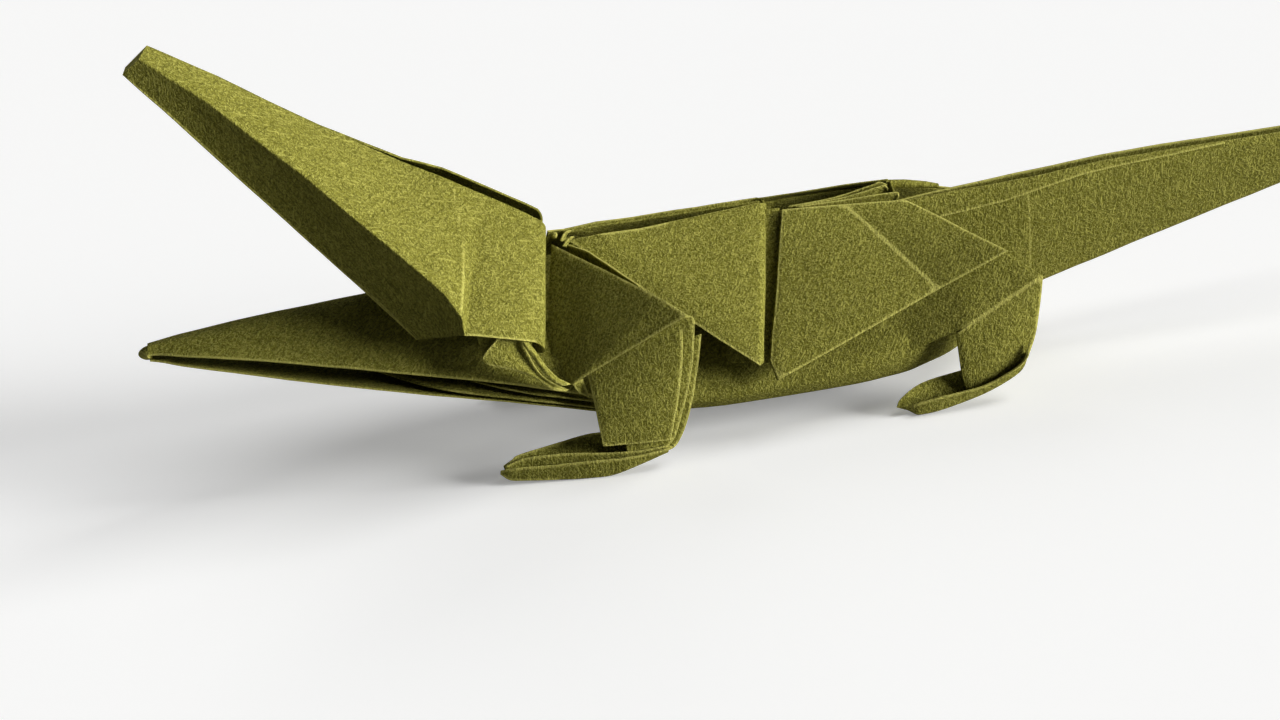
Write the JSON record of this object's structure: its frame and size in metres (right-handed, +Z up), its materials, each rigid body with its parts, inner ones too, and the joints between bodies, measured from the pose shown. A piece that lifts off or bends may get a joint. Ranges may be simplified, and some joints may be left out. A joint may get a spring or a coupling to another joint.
{
  "type": "origami crocodile",
  "caption": "Crocodile folded from a single square of olive green paper, standing on bent legs with its mouth wide open, a long keeled tail and open slits along head and back.",
  "frame": {"origin": "on the floor, below the middle of the overall length and width", "axes": "+X runs from the snout to the tail, +Y to the crocodile's right side, +Z up from the floor"},
  "size_m": [0.1948, 0.0356, 0.0634],
  "materials": {
    "paper": "matte fibrous"
  },
  "bodies": {
    "root": {"crocodile": "paper"}
  },
  "joints": []
}
